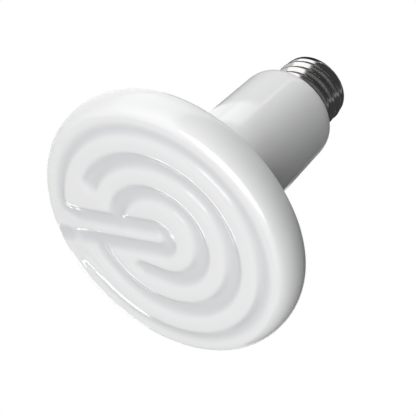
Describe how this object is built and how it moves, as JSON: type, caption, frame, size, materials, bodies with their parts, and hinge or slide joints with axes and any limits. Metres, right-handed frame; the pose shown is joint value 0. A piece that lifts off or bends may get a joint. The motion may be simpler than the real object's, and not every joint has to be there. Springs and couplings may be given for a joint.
{
  "type": "ceramic heat emitter",
  "caption": "White glazed ceramic heat emitter: a thick disc with a labyrinth relief on its face, a tapered round neck and a nickel-plated screw cap.",
  "frame": {"origin": "middle of the ridges' flat crests, which the emitter stands on face down", "axes": "+Z along the neck from the face to the centre contact, -X towards the side of the rim that the straight bar of the labyrinth starts from"},
  "size_m": [0.1, 0.1, 0.1056],
  "materials": {
    "glazed_porcelain": "clear gloss glaze over white porcelain",
    "fixing_cement": "matt, hardened cement",
    "nickel_plated_brass": "bright nickel plating on rolled brass sheet",
    "black_cap_glass": "black opaque glass, gloss",
    "contact_brass": "pressed brass",
    "solder": "dull tin solder",
    "nickel_wire": "bare nickel wire"
  },
  "bodies": {
    "root": {"ceramic_body": "glazed_porcelain", "screw_shell": "nickel_plated_brass", "cement_ring": "fixing_cement", "cap_insulator": "black_cap_glass", "centre_contact": "contact_brass", "centre_solder": "solder", "live_lead": "nickel_wire", "neutral_lead": "nickel_wire"}
  },
  "joints": []
}
